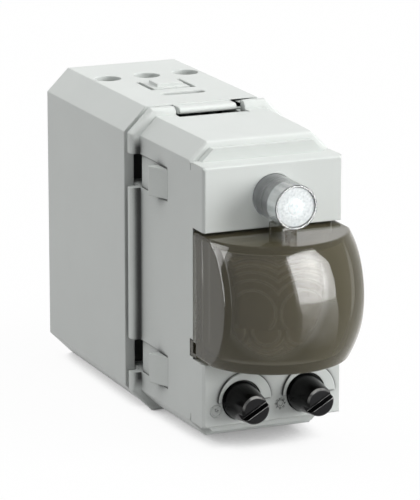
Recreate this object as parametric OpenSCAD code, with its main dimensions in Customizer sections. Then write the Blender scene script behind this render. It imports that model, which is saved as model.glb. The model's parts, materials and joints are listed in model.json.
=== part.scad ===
// Motion sensor light switch: a one-module wiring device with a passive infrared
// detector behind a smoked lens, a clear light guide and two screwdriver trimmers.
// Front is -Y, up is +Z. Modules draw in a local frame whose y = 0 is the face of the
// front plate and whose z = 0 is mid-height; place() moves that to the part's origin,
// the middle of the footprint at the lowest edge.

/* [Rear housing] */
// Width of the rear housing
rear_w = 24; // [23.5:0.1:28]
// Height of the rear housing
rear_h = 44.2; // [43:0.1:50]
// Depth of the rear housing
rear_len = 31; // [30:0.5:40]
// Corner chamfer of the rear housing
rear_chamfer = 3.35; // [2.5:0.05:3.8]
// Side, top and bottom walls of the rear housing
rear_wall = 1.5; // [1.2:0.1:1.8]
// Rear wall of the rear housing
back_wall = 1.8; // [1.2:0.1:2.4]
// Width of the groove between the rear housing and the collar
groove_w = 1.7; // [0.6:0.1:2.6]

/* [Collar] */
// How far the collar stands out past the rear housing
collar_step = 0.15; // [0.1:0.05:0.8]
// Thickness of the collar
collar_t = 1.5; // [1.2:0.1:2.6]
// Corner chamfer of the collar
collar_chamfer = 3.3; // [2.5:0.05:3.8]
// Rounding of the collar's front edge
collar_edge = 0.9; // [0.3:0.1:1.2]
// Width of the windows in the top and bottom of the collar
top_window_w = 10.6; // [8:0.1:13]
// Height of the windows in the sides of the collar and of the recesses round the teeth
side_window_h = 4.9; // [4:0.1:6]

/* [Front block] */
// Width of the front block at the collar
block_w = 21.7; // [21.2:0.1:22.6]
// Height of the front block at the collar
block_h = 42.4; // [41:0.1:43]
// Corner chamfer of the front block
block_chamfer = 2.5; // [2:0.1:3]
// Depth from the collar to the shoulder behind the plate
block_len = 18.5; // [17:0.5:24]
// Width of the front block at the plate
nose_w = 20.9; // [20.4:0.1:21.6]
// Height of the shoulder behind the plate
nose_h = 42.2; // [41:0.1:42.4]
// Height of the plate
plate_h = 37; // [36:0.1:39]
// How far the plate stands in front of the shoulder
plate_t = 3.45; // [3:0.05:4.5]
// Walls of the front block
cover_wall = 1.5; // [1.2:0.1:1.8]
// How far the shoulder's front edge lies below the top of the block
step_drop = 0.9; // [0.5:0.1:1.1]
// Depth of the step in the shoulder
step_len = 1.1; // [0.6:0.1:1.3]
// Rounding of the block's edge above the step
block_edge = 0.8; // [0.2:0.1:1]

/* [Snap teeth] */
// Height of the snap teeth and their windows above and below the middle
tooth_z = 13.6; // [12:0.1:15]
// Width of a snap tooth
tooth_w = 4.2; // [3:0.1:4.6]
// Length of a snap tooth
tooth_len = 3.6; // [3:0.1:8]
// How far a snap tooth stands out
tooth_out = 1.2; // [0.6:0.05:1.3]
// Thickness of the support frame held between the teeth and the collar
frame_t = 6; // [3:0.1:7]

/* [Lens] */
// Radius of the lens at mid-height
lens_r = 13; // [12:0.1:15]
// Radius of the lens's upright curve
lens_arc = 18; // [15:0.5:30]
// Half of the lens's height
lens_half = 8.95; // [8:0.05:9.4]
// Distance of the lens's upright axis behind the plate's face
lens_axis = 0.5; // [0:0.1:1.5]
// Wall of the lens
lens_wall = 1.2; // [0.9:0.1:1.5]
// Depth of the notch that takes the lens
notch_depth = 3.75; // [3.5:0.05:4.5]
// Gap above and below the lens in its notch
lens_gap = 0.4; // [0.2:0.05:0.6]
// Gap between the inner fresnel sheet and the lens
fresnel_gap = 0.45; // [0.2:0.05:1]
// Gap between the fresnel sheet's ends and the top and bottom of the lens
fresnel_end_gap = 0.35; // [0.2:0.05:1]
// Thickness of the fresnel sheet
fresnel_t = 0.6; // [0.4:0.1:1]

/* [Light guide] */
// Radius of the clear light guide
guide_r = 3.1; // [2:0.1:3.4]
// How far the light guide stands out
guide_out = 7.5; // [4:0.5:11]
// Height of the light guide above the middle
guide_z = 13.7; // [13.6:0.1:14.2]

/* [Knobs] */
// Distance between the two knobs
knob_pitch = 9.75; // [9:0.05:11]
// Distance of the knobs below the middle
knob_drop = 14.9; // [14:0.1:15]
// Radius of a knob where it leaves the plate
knob_r = 2.72; // [2:0.02:2.9]
// Radius of a knob at its tip
knob_tip_r = 2.05; // [1.6:0.05:2.6]
// How far a knob stands out
knob_out = 5.5; // [2:0.1:8]
// Width of the screwdriver slot in a knob
knob_slot_w = 0.9; // [0.6:0.1:1.4]
// Depth of the screwdriver slot in a knob
knob_slot_d = 1.3; // [0.6:0.1:2]
// Angle of the slots above the horizontal
knob_angle = 30; // [0:5:90]

/* [Terminals] */
// Distance between neighbouring terminals
terminal_pitch = 6.2; // [6.1:0.05:6.6]
// Distance of the terminal screws from the rear face
terminal_back = 10.1; // [9:0.1:11]
// Radius of the screwdriver holes in the top
access_r = 1.95; // [1.5:0.05:2.1]
// Depth of the screwdriver holes
access_depth = 2.5; // [2:0.1:3]
// Radius of the wire entries in the rear face
wire_r = 1.9; // [1.4:0.05:1.95]
// Radius of a terminal screw
screw_r = 1.4; // [1:0.05:1.5]
// Radius of a terminal screw's head
head_r = 2.1; // [2:0.05:2.2]
// Height of a terminal screw's head
head_h = 2; // [1.6:0.1:2.4]
// Travel of a clamping cage
cage_lift = 1.5; // [1:0.1:2]
// Outer width of a clamping cage
cage_w = 5.2; // [5:0.05:5.3]
// Length of a clamping cage
cage_len = 6; // [5:0.1:6.5]
// Side walls of a clamping cage
cage_wall = 0.6; // [0.4:0.05:0.6]
// Room for the wire in an open cage
wire_room = 4.2; // [4:0.1:4.6]

/* [Boards] */
// Distance of the sensor board behind the plate's face
sensor_y = 9; // [8.8:0.1:10]
// Thickness of the circuit boards
board_t = 1.6; // [1:0.1:2]

/* [Hidden] */
$fn = 64;

// Clearances between pieces
fit_gap = 0.1;
run_gap = 0.06;
slide_gap = 0.15;
seat_gap = 0.05;
play = 0.3;
// Overlap that carries a cut past the face it opens
over = 1;

// The collar surrounds the rear housing by the same step on every side
collar_w = rear_w + 2 * collar_step;
collar_h = rear_h + 2 * collar_step;

// Depths from the plate's face, from front to back
shoulder_y = plate_t;
step_y = shoulder_y + step_len;
collar_y = shoulder_y + block_len;
collar_back_y = collar_y + collar_t;
rear_front_y = collar_back_y + groove_w;
back_y = rear_front_y + rear_len;
notch_back_y = notch_depth + cover_wall;
lens_front = lens_r - lens_axis;
notch_half = lens_half + lens_gap;
reach = max(lens_front, guide_out, knob_out);
overall_h = max(collar_h, rear_h);

// Skirt of the front cover inside the mouth of the rear housing
skirt_len = 3;
skirt_wall = 1;
skirt_w = rear_w - 2 * rear_wall - 2 * fit_gap;
skirt_h = rear_h - 2 * rear_wall - 2 * fit_gap;
inner_chamfer = rear_chamfer - rear_wall / 2;

// Room inside the front block, and the thinner walls round the lens notch and the plate's ends
cover_inner_h = min(block_h, nose_h) - 2 * cover_wall;
cover_inner_chamfer = block_chamfer - cover_wall / 2;
rim_wall = 1;
board_w = min(nose_w - 2 * cover_wall, block_w - 2 * cover_wall, skirt_w - 2 * skirt_wall) - 2 * slide_gap;

// Terminals, worked out downwards from the top of the rear housing
top_z = rear_h / 2;
ceiling_z = top_z - access_depth;
head_top_z = ceiling_z - play;
head_z = head_top_z - head_h;
pocket_top_z = head_z - fit_gap;
nut_t = 2;
cage_top_z = pocket_top_z - cage_lift - play;
cage_in_z = cage_top_z - nut_t;
bar_t = 1;
bar_top_z = cage_in_z - play;
bar_z = bar_top_z - bar_t;
wire_z = bar_z - wire_room / 2;
cage_floor_z = bar_z - wire_room;
cage_floor_t = 1;
cage_z = cage_floor_z - cage_floor_t;
terminal_y = back_y - terminal_back;
pocket_w = cage_w + 2 * slide_gap;
pocket_back_y = terminal_y + cage_len / 2 + play;
block_front_y = terminal_y - cage_len / 2 - play;

// Boards
board_top_z = cage_z - 2 * play;
board_bottom_z = board_top_z - board_t;
sensor_back_y = sensor_y + board_t;
power_front_y = sensor_back_y + fit_gap;
power_back_y = back_y - back_wall - play;
ledge_w = 2.2;
ledge_t = 1.5;

// Places of the components along the power board, behind the sensor board
parts_inset = 2;
rectifier_inset = 5;
varistor_inset = 11.5;
parts_y = sensor_back_y + parts_inset;
rectifier_y = sensor_back_y + rectifier_inset;
varistor_y = sensor_back_y + varistor_inset;

// Trimmers and knobs
knob_z = -knob_drop;
trimmer_w = 6.6;
trimmer_front_y = notch_back_y + fit_gap;
spigot_r = 1;
spigot_len = 2;
time_x = -knob_pitch / 2;
lux_x = knob_pitch / 2;

// Detector
pir_r = 4.1;
pir_flange_r = 4.6;
pir_flange_t = 0.5;
pir_h = 4.2;
pir_lead_r = 0.23;
pir_lead_pcd = 5.08;
pir_window_w = 4;
pir_window_h = 3;
pir_window_t = 0.5;
holder_r = 6;
holder_seat = 1;
pir_back_y = notch_back_y + holder_seat;
fresnel_inset = lens_wall + fresnel_gap;
fresnel_half = lens_half - lens_wall - fresnel_end_gap;
led_r = 1.5;
led_flange_r = 1.8;
led_x = nose_w / 2 - cover_wall - led_flange_r - slide_gap - fit_gap;
led_z = 5;
guide_flange = 0.5;
guide_flange_t = 1;
photocell_r = 2.5;

module place() {
    translate([0, (reach - back_y) / 2, overall_h / 2]) children();
}

// Mirrors its children left and right
module both_sides() {
    children();
    mirror([1, 0, 0]) children();
}

// Mirrors its children top and bottom
module top_and_bottom() {
    children();
    mirror([0, 0, 1]) children();
}

// Box between two depths and two heights, centred on x = 0
module bar_box(w, y0, y1, z0, z1) {
    translate([-w / 2, y0, z0]) cube([w, y1 - y0, z1 - z0]);
}

// Extrudes a front-view outline between two depths
module between(y0, y1) {
    translate([0, y1, 0]) rotate([90, 0, 0]) linear_extrude(y1 - y0) children();
}

// Extrudes a side-view outline, drawn as [y, z], across a width centred on x = 0
module across(w) {
    translate([-w / 2, 0, 0]) rotate([90, 0, 90]) linear_extrude(w) children();
}

// Round bar along the depth
module rod(r, y0, y1) {
    between(y0, y1) circle(r);
}

// Round bar along the depth with a half-ball at its front
module domed_rod(r, y0, y1) {
    straight = y1 - y0 - r;
    translate([0, y1, 0]) rotate([90, 0, 0]) rotate_extrude() intersection() {
        union() {
            square([r, straight]);
            translate([0, straight]) circle(r);
        }
        square([r, straight + r]);
    }
}

// Solid turned about a line along the depth; its outline is drawn as [radius, depth]
module turned(outline) {
    rotate([-90, 0, 0]) rotate_extrude() polygon(outline);
}

function octagon(w, h, c) = [
    [-w / 2, -h / 2 + c], [-w / 2 + c, -h / 2], [w / 2 - c, -h / 2], [w / 2, -h / 2 + c],
    [w / 2, h / 2 - c], [w / 2 - c, h / 2], [-w / 2 + c, h / 2], [-w / 2, h / 2 - c]
];

// Chamfered rectangle drawn in by d on every side, and by d everywhere but at its sides
function inset(w, h, c, d) = octagon(w - 2 * d, h - 2 * d, c - d * (2 - sqrt(2)));
function inset_ends(w, h, c, d) = octagon(w, h - 2 * d, c + d * (sqrt(2) - 1));

// Quarter-round edge of radius r as [depth, inset] pairs, from its front face backwards
edge_steps = 4;
function quarter_round(r) = [
    for (i = [0:edge_steps]) let (a = 90 * i / edge_steps) [r * (1 - cos(a)), r * (1 - sin(a))]
];

// Loft through front-view outlines, one at each depth
module loft(outlines, depths) {
    sides = len(outlines[0]);
    last = len(depths) - 1;
    points = [for (k = [0:last]) for (p = outlines[k]) [p[0], depths[k], p[1]]];
    walls = [
        for (k = [0:last - 1]) for (i = [0:sides - 1]) let (a = k * sides, j = (i + 1) % sides)
            [a + i, a + j, a + sides + j, a + sides + i]
    ];
    caps = [[for (i = [0:sides - 1]) sides - 1 - i], [for (i = [0:sides - 1]) last * sides + i]];
    polyhedron(points, concat(caps, walls));
}

// Slot with round ends, seen from above
module round_slot(length, width) {
    square([length - width, width], center = true);
    for (s = [-1, 1]) translate([s * (length - width) / 2, 0]) circle(width / 2);
}

// Rear housing

module terminal_columns() {
    for (i = [-1:1]) translate([i * terminal_pitch, terminal_y, 0]) children();
}

// Hollow of the rear housing around its terminal block and board ledges
module rear_hollow() {
    difference() {
        between(rear_front_y - over, back_y - back_wall)
            polygon(octagon(rear_w - 2 * rear_wall, rear_h - 2 * rear_wall, inner_chamfer));
        bar_box(rear_w, block_front_y, back_y, board_top_z + fit_gap, top_z);
        both_sides()
            translate([-rear_w / 2, rear_front_y + skirt_len + over, board_bottom_z - ledge_t])
                cube([rear_wall + ledge_w, rear_len, ledge_t]);
    }
}

// Screwdriver hole, head chamber, cage pocket and wire entry of each terminal
module terminal_cuts() {
    head_room_r = head_r + slide_gap;
    funnel = 0.8;
    terminal_columns() {
        translate([0, 0, ceiling_z - over]) cylinder(r = access_r, h = access_depth + 2 * over);
        translate([0, 0, head_z - over]) cylinder(r = head_room_r, h = ceiling_z - head_z + over);
    }
    for (i = [-1:1]) translate([i * terminal_pitch, 0, 0]) {
        bar_box(pocket_w, block_front_y - over, pocket_back_y, board_top_z - over, pocket_top_z);
        translate([0, 0, wire_z]) rod(wire_r, pocket_back_y - over, back_y + over);
        translate([0, back_y - funnel, wire_z]) rotate([-90, 0, 0])
            cylinder(r1 = wire_r, r2 = wire_r + funnel, h = 2 * funnel);
    }
}

// U-shaped cut that frees the snap tongue in the top wall
tongue_w = 5.6;
tongue_len = 5.6;
tongue_cut = 0.7;
tongue_inset = 1;
tongue_root_y = block_front_y - tongue_inset;
module tongue_cut() {
    translate([0, tongue_root_y - tongue_len - tongue_cut, top_z - rear_wall - over])
        linear_extrude(rear_wall + 2 * over) difference() {
            translate([-tongue_w / 2 - tongue_cut, 0])
                square([tongue_w + 2 * tongue_cut, tongue_len + tongue_cut]);
            translate([-tongue_w / 2, tongue_cut]) square([tongue_w, tongue_len + over]);
        }
}

module tongue_boss() {
    boss_rise = 0.5;
    boss_margin = 0.8;
    boss_len = 3.36;
    y0 = tongue_root_y - tongue_len + boss_margin;
    bar_box(tongue_w - 2 * boss_margin, y0, y0 + boss_len, top_z - rear_wall, top_z + boss_rise);
}

// Lip that reaches forward into a collar window, with a half-round front edge
lip_len = 2.4;
lip_t = 1;
lip_gap = 0.9;
module window_lip() {
    r = lip_t / 2;
    w = top_window_w - 2 * lip_gap;
    z0 = top_z - slide_gap - lip_t;
    across(w) union() {
        translate([rear_front_y - lip_len + r, z0]) square([lip_len - r + over, lip_t]);
        translate([rear_front_y - lip_len + r, z0 + r]) circle(r);
    }
}

module rear_housing() {
    slot_len = 6.8;
    slot_w = 1.7;
    slot_inset = 6.9;
    slot_y = rear_front_y + slot_inset;
    color("gainsboro") difference() {
        union() {
            difference() {
                between(rear_front_y, back_y) polygon(octagon(rear_w, rear_h, rear_chamfer));
                rear_hollow();
            }
            top_and_bottom() window_lip();
            tongue_boss();
        }
        terminal_cuts();
        tongue_cut();
        translate([0, slot_y, top_z - rear_wall - over])
            linear_extrude(rear_wall + 2 * over) round_slot(slot_len, slot_w);
    }
}

// Front cover

// Front block, flaring back to the collar, with a step in its shoulder
module block_form() {
    edge = quarter_round(block_edge);
    loft(concat([for (q = edge) inset_ends(nose_w, nose_h, block_chamfer, q[1])],
                [octagon(block_w, block_h, block_chamfer)]),
         concat([for (q = edge) step_y + q[0]], [collar_y]));
    between(shoulder_y, step_y + over)
        polygon(inset_ends(nose_w, nose_h, block_chamfer, step_drop));
}

// Plate with a slightly drawn-in front edge
module plate_form() {
    edge = 0.5;
    between(edge, shoulder_y + over) square([nose_w, plate_h], center = true);
    loft([octagon(nose_w - edge, plate_h - edge, edge / 2), octagon(nose_w, plate_h, edge / 2)], [0, edge]);
}

// Collar with a rounded front edge, and the skirt that enters the rear housing
module collar_form() {
    edge = quarter_round(collar_edge);
    loft(concat([for (q = edge) inset(collar_w, collar_h, collar_chamfer, q[1])],
                [octagon(collar_w, collar_h, collar_chamfer)]),
         concat([for (q = edge) collar_y + q[0]], [collar_back_y]));
    between(collar_back_y, rear_front_y + skirt_len) polygon(octagon(skirt_w, skirt_h, inner_chamfer));
}

// Wedge that snaps behind the support frame, on the left side
tooth_back_y = collar_y - frame_t;
tooth_front_y = tooth_back_y - tooth_len;
module snap_tooth() {
    tooth_land = 0.4;
    root_x = -block_w / 2 + over;
    tip_x = -block_w / 2 - tooth_out;
    flush_x = -(nose_w + (block_w - nose_w) * (tooth_front_y - step_y) / (collar_y - step_y)) / 2;
    translate([0, 0, tooth_z - tooth_w / 2]) linear_extrude(tooth_w) polygon([
        [root_x, tooth_front_y], [flush_x, tooth_front_y],
        [tip_x, tooth_back_y - tooth_land], [tip_x, tooth_back_y], [root_x, tooth_back_y]
    ]);
}

// Shallow recess that surrounds a tooth and runs back to the window, on the left side
module tooth_recess() {
    recess = 0.3;
    translate([-collar_w, tooth_front_y, tooth_z - side_window_h / 2])
        cube([collar_w - block_w / 2 + recess, collar_y + over - tooth_front_y, side_window_h]);
}

// Closed box behind a side window, on the left side
box_wall = 0.8;
box_depth = 3;
box_x = skirt_w / 2 - skirt_wall - box_depth;
box_back_y = rear_front_y + skirt_len;
module window_box() {
    translate([-skirt_w / 2 + skirt_wall / 2, collar_y - box_wall, tooth_z - side_window_h / 2 - box_wall])
        cube([skirt_w / 2 - skirt_wall / 2 - box_x + box_wall, box_back_y - collar_y + box_wall,
              side_window_h + 2 * box_wall]);
}

// Window in the collar behind a tooth, on the left side
module side_window() {
    translate([-collar_w, collar_y, tooth_z - side_window_h / 2])
        cube([collar_w - box_x, box_back_y - box_wall - collar_y, side_window_h]);
}

// Window in the top of the collar, with a ramp down to it in the block
module top_window() {
    ramp_len = 2;
    ramp_drop = 0.5;
    bar_box(top_window_w, collar_y, back_y, skirt_h / 2 - skirt_wall - over, collar_h);
    across(top_window_w) polygon([
        [collar_y - ramp_len, block_h / 2], [collar_y + over, block_h / 2 - ramp_drop],
        [collar_y + over, collar_h], [collar_y - ramp_len, collar_h]
    ]);
}

// Raised scale that widens clockwise around a knob
module scale_crescent(x) {
    rise = 0.3;
    gap = 0.25;
    band = 1;
    shift = 0.55;
    inner_r = knob_r + gap;
    outer_r = inner_r + band;
    between(-rise, over) translate([x, knob_z]) difference() {
        translate([shift, 0]) circle(outer_r);
        circle(inner_r);
        translate([-2 * outer_r, -2 * outer_r]) square([4 * outer_r, 2 * outer_r]);
    }
}

// Hollow of the front cover, open at the skirt
module cover_hollow() {
    front_w = nose_w - 2 * cover_wall;
    loft([for (w = [front_w, block_w - 2 * cover_wall]) octagon(w, cover_inner_h, cover_inner_chamfer)],
         [notch_back_y, collar_y]);
    between(collar_y - over / 10, back_y)
        polygon(octagon(skirt_w - 2 * skirt_wall, skirt_h - 2 * skirt_wall, inner_chamfer));
    // The two halves of the plate are hollow behind their faces
    top_and_bottom()
        bar_box(front_w, cover_wall, notch_back_y + over,
                notch_half + rim_wall, plate_h / 2 - rim_wall);
}

// Full-width notch for the lens, with a pocket for its clip on each side
clip_z = -7.85;
clip_h = 2.3;
clip_t = 1;
module lens_notch() {
    bar_box(nose_w + 2 * over, -over, notch_depth, -notch_half, notch_half);
    both_sides()
        translate([-nose_w / 2 - over, notch_depth - over, clip_z - clip_h / 2 - fit_gap])
            cube([lens_wall + fit_gap + over, over + clip_t + fit_gap, clip_h + 2 * fit_gap]);
}

// Holes in the plate for the light guide and the knobs, with room behind for the guide's flange
module plate_holes() {
    translate([0, 0, guide_z]) {
        rod(guide_r + seat_gap, -over, cover_wall + over);
        rod(guide_r + guide_flange + fit_gap, cover_wall, cover_wall + guide_flange_t + fit_gap);
    }
    for (x = [time_x, lux_x]) translate([x, 0, knob_z]) {
        rod(knob_r + run_gap, -over, cover_wall + over);
        rod(knob_tip_r + fit_gap, 0, notch_back_y + over);
    }
}

module front_cover() {
    color("gainsboro") difference() {
        union() {
            difference() {
                union() {
                    difference() {
                        block_form();
                        both_sides() top_and_bottom() tooth_recess();
                    }
                    plate_form();
                    collar_form();
                    both_sides() top_and_bottom() snap_tooth();
                    scale_crescent(time_x);
                    scale_crescent(lux_x);
                }
                cover_hollow();
            }
            both_sides() top_and_bottom() window_box();
        }
        lens_notch();
        both_sides() top_and_bottom() side_window();
        top_and_bottom() top_window();
        plate_holes();
        rod(pir_r + play, notch_depth - over, notch_back_y + over);
        translate([led_x, 0, led_z]) rod(led_r + fit_gap, notch_depth - over, notch_back_y + over);
    }
}

// Lens and light guide

// Solid of the lens, drawn in by an inset on its curved and flat sides and cut at half its height
module lens_form(inset, half) {
    intersection() {
        translate([0, lens_axis, 0]) rotate_extrude() intersection() {
            translate([lens_r - lens_arc, 0]) circle(lens_arc - inset);
            translate([0, -half]) square([lens_r, 2 * half]);
        }
        bar_box(nose_w - 2 * inset, -2 * lens_r, notch_depth - seat_gap + inset, -lens_r, lens_r);
    }
}

module lens_cover() {
    lug_w = 2.4;
    lug_front = 5.2;
    lug_back = 1;
    color("dimgray") {
        difference() {
            lens_form(0, lens_half);
            lens_form(lens_wall, lens_half - lens_wall);
        }
        bar_box(lug_w, -lug_front, -lug_back, lens_half - lens_wall / 2, guide_z - guide_r - fit_gap);
        both_sides() translate([-nose_w / 2, notch_depth - lens_wall, clip_z - clip_h / 2])
            cube([lens_wall, lens_wall + clip_t, clip_h]);
    }
}

// Doubly curved sheet that follows the inside of the lens and stands on the back of the notch
module fresnel_lens() {
    color("wheat") intersection() {
        difference() {
            lens_form(fresnel_inset, fresnel_half);
            lens_form(fresnel_inset + fresnel_t, fresnel_half + over);
        }
        bar_box(nose_w, -2 * lens_r, notch_depth - seat_gap, -lens_half, lens_half);
    }
}

// Clear rod with a rim round its hollowed end and a flange behind the plate
module light_guide() {
    rim_w = 0.35;
    dish = 0.5;
    back = cover_wall + guide_flange_t;
    color("aliceblue") translate([0, 0, guide_z]) difference() {
        union() {
            rod(guide_r, -guide_out, cover_wall + guide_flange_t / 2);
            rod(guide_r + guide_flange, cover_wall, back);
        }
        rod(guide_r - rim_w, -guide_out - over, -guide_out + dish);
    }
}

// Sensor board and what it carries

module photocell() {
    flange_r = 2.9;
    flange_t = 1;
    front = cover_wall + guide_flange_t + play;
    color("lightyellow") translate([0, 0, guide_z]) {
        domed_rod(photocell_r, front, sensor_y - flange_t / 2);
        rod(flange_r, sensor_y - flange_t, sensor_y);
    }
}

module status_led() {
    flange_t = 0.8;
    color("firebrick") translate([led_x, 0, led_z]) {
        domed_rod(led_r, notch_depth + fit_gap, sensor_y - flange_t / 2);
        rod(led_flange_r, sensor_y - flange_t, sensor_y);
    }
}

// Ring that spaces the detector off the board
module pir_holder() {
    lead_room_r = pir_lead_pcd / 2 + 2 * pir_lead_r + fit_gap;
    color("white") difference() {
        rod(holder_r, notch_back_y, sensor_y);
        rod(pir_flange_r + fit_gap, notch_back_y - over, pir_back_y);
        rod(lead_room_r, pir_back_y - over, sensor_y + over);
    }
}

// Metal can with a flange, a window and three leads
module pir_sensor() {
    front = pir_back_y - pir_h;
    color("silver") {
        difference() {
            union() {
                rod(pir_r, front, pir_back_y);
                rod(pir_flange_r, pir_back_y - pir_flange_t, pir_back_y);
            }
            bar_box(pir_window_w, front - over, front + pir_window_t, -pir_window_h / 2, pir_window_h / 2);
        }
        for (a = [0, 120, 240])
            translate([pir_lead_pcd / 2 * cos(a), 0, pir_lead_pcd / 2 * sin(a)])
                rod(pir_lead_r, pir_back_y - pir_flange_t / 2, sensor_y);
    }
}

module pir_window() {
    front = pir_back_y - pir_h;
    color("black")
        bar_box(pir_window_w - 2 * seat_gap, front, front + pir_window_t,
                -pir_window_h / 2 + seat_gap, pir_window_h / 2 - seat_gap);
}

module sensor_board() {
    color("seagreen") between(sensor_y, sensor_back_y)
        polygon(octagon(board_w, cover_inner_h - 2 * slide_gap, cover_inner_chamfer));
}

// Moulded chip with a row of bent legs above and below
module controller_chip() {
    chip_w = 10;
    chip_h = 4;
    chip_t = 1.6;
    chip_z = -9;
    leg_count = 8;
    leg_pitch = 1.27;
    leg_w = 0.42;
    leg_t = 0.2;
    leg_reach = 1;
    color("black") translate([0, sensor_back_y, chip_z]) {
        bar_box(chip_w, 0, chip_t, -chip_h / 2, chip_h / 2);
        top_and_bottom() for (i = [0:leg_count - 1])
            translate([(i - (leg_count - 1) / 2) * leg_pitch, 0, 0]) across(leg_w) polygon([
                [chip_t / 2, 0], [chip_t / 2, chip_h / 2 + leg_reach / 2],
                [leg_t, chip_h / 2 + leg_reach / 2], [leg_t, chip_h / 2 + leg_reach],
                [0, chip_h / 2 + leg_reach], [0, chip_h / 2 + leg_reach / 2 - leg_t],
                [chip_t / 2 - leg_t, chip_h / 2 + leg_reach / 2 - leg_t], [chip_t / 2 - leg_t, 0]
            ]);
    }
}

// Trimmer with cut corners and a hole for the knob's spigot
module trimmer(x) {
    corner = 0.8;
    color("royalblue") translate([x, 0, knob_z]) difference() {
        between(trimmer_front_y, sensor_y) polygon(octagon(trimmer_w, trimmer_w, corner));
        rod(spigot_r + run_gap, trimmer_front_y - over, trimmer_front_y + spigot_len + play);
    }
}

// Tapered knob, turned about its own axis, with a spigot in the trimmer's rotor
module knob(x) {
    tip_round = 0.3;
    back = trimmer_front_y - fit_gap;
    color("black") translate([x, 0, knob_z]) difference() {
        turned([
            [0, -knob_out], [knob_tip_r - tip_round, -knob_out],
            [knob_tip_r, -knob_out + tip_round], [knob_r, 0], [knob_r, cover_wall],
            [knob_tip_r, cover_wall], [knob_tip_r, back], [spigot_r, back],
            [spigot_r, back + spigot_len], [0, back + spigot_len]
        ]);
        rotate([0, -knob_angle, 0])
            bar_box(3 * knob_r, -knob_out - over, -knob_out + knob_slot_d, -knob_slot_w / 2, knob_slot_w / 2);
    }
}

// Power board and what it carries

module power_board() {
    color("seagreen")
        bar_box(board_w, power_front_y, power_back_y, board_bottom_z, board_top_z);
}

// Row of pin blocks, notched between neighbours
module board_header() {
    pin_count = 4;
    pin_pitch = 2.54;
    header_h = 2.5;
    notch = 0.4;
    color("black") for (i = [0:pin_count - 1])
        translate([(i - (pin_count - 1) / 2) * pin_pitch, sensor_back_y + pin_pitch / 2, board_top_z])
            linear_extrude(header_h) polygon(octagon(pin_pitch, pin_pitch, notch));
}

// Box-shaped component with cut long edges, hanging from the underside of the power board
module under_board(x, w, y, l, h) {
    corner = 0.6;
    translate([x, 0, board_bottom_z - h / 2]) between(y, y + l) polygon(octagon(w, h, corner));
}

module relay() {
    relay_w = 15;
    relay_l = 19;
    relay_h = 15.3;
    color("darkorange")
        under_board(0, relay_w, power_back_y - over - relay_l, relay_l, relay_h);
}

module film_capacitor() {
    cap_w = 6;
    cap_l = 13;
    cap_h = 11;
    color("goldenrod")
        under_board(cap_w / 2 - board_w / 2, cap_w, parts_y, cap_l, cap_h);
}

// Can with a rounded end and a crimped groove near the board
module electrolytic_capacitor() {
    cap_r = 4;
    cap_h = 11.5;
    end_round = 0.5;
    crimp = 0.35;
    crimp_z = cap_h - 1.8;
    color("midnightblue")
        translate([board_w / 2 - cap_r, parts_y + cap_r, board_bottom_z - cap_h])
            rotate_extrude() polygon([
                [0, 0], [cap_r - end_round, 0], [cap_r, end_round], [cap_r, crimp_z - crimp],
                [cap_r - crimp, crimp_z], [cap_r, crimp_z + crimp], [cap_r, cap_h], [0, cap_h]
            ]);
}

// Disc with rounded edges on two leads
module varistor() {
    disc_r = 4.5;
    disc_t = 3.4;
    edge = 0.8;
    lead_r = 0.3;
    lead_gap = 5;
    lead_len = 1.5;
    disc_z = board_bottom_z - disc_r - lead_len;
    color("steelblue") translate([board_w / 2 - disc_r, 0, 0]) {
        translate([0, varistor_y, disc_z]) turned([
            [0, 0], [disc_r - edge, 0], [disc_r, edge], [disc_r, disc_t - edge], [disc_r - edge, disc_t],
            [0, disc_t]
        ]);
        for (s = [-1, 1]) translate([s * lead_gap / 2, varistor_y + disc_t / 2, disc_z])
            cylinder(r = lead_r, h = board_bottom_z - disc_z);
    }
}

// Resistor with bulged ends on two bent leads
module fuse_resistor() {
    body_r = 1.5;
    body_l = 8;
    bulge_l = 1.6;
    waist = 0.25;
    lead_r = 0.3;
    z = board_top_z + body_r + fit_gap;
    x = board_w / 2 - 2 * body_r;
    front_y = box_back_y + play;
    end_y = front_y + 2 * body_r + body_l;
    color("tan") translate([x, 0, 0]) {
        translate([0, front_y + body_r, z]) turned([
            [0, 0], [body_r, 0], [body_r, bulge_l], [body_r - waist, bulge_l + waist],
            [body_r - waist, body_l - bulge_l - waist], [body_r, body_l - bulge_l],
            [body_r, body_l], [0, body_l]
        ]);
        translate([0, 0, z]) rod(lead_r, front_y, end_y);
        for (y = [front_y + lead_r, end_y - lead_r])
            translate([0, y, board_top_z]) cylinder(r = lead_r, h = body_r + fit_gap);
    }
}

// Moulded bridge with two legs on each side
module rectifier() {
    chip_w = 6.4;
    chip_l = 8;
    chip_h = 3;
    leg_w = 0.8;
    leg_t = 0.3;
    leg_pitch = 5;
    color("black") translate([0, rectifier_y + chip_l / 2, board_top_z]) {
        bar_box(chip_w, -chip_l / 2, chip_l / 2, 0, chip_h);
        both_sides() for (s = [-1, 1])
            translate([-chip_w / 2 - leg_t, s * leg_pitch / 2 - leg_w / 2, 0])
                cube([2 * leg_t, leg_w, chip_h / 2]);
    }
}

// Terminals

// Angled strips that stand on the board and reach through the cages
module terminal_bars() {
    bar_w = 3.2;
    y0 = block_front_y - 2 * bar_t;
    y1 = terminal_y + cage_len / 2;
    color("peru") for (i = [-1:1]) translate([i * terminal_pitch, 0, 0]) {
        bar_box(bar_w, y0, y1, bar_z, bar_top_z);
        bar_box(bar_w, y0, y0 + bar_t, board_top_z, bar_top_z);
    }
}

// Square clamping cage with a threaded top
module cage(i) {
    y0 = terminal_y - cage_len / 2;
    y1 = terminal_y + cage_len / 2;
    color("silver") translate([i * terminal_pitch, 0, 0]) difference() {
        bar_box(cage_w, y0, y1, cage_z, cage_top_z);
        bar_box(cage_w - 2 * cage_wall, y0 - over, y1 + over, cage_floor_z, cage_in_z);
        translate([0, terminal_y, cage_in_z - over]) cylinder(r = screw_r + run_gap, h = nut_t + 2 * over);
    }
}

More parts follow.
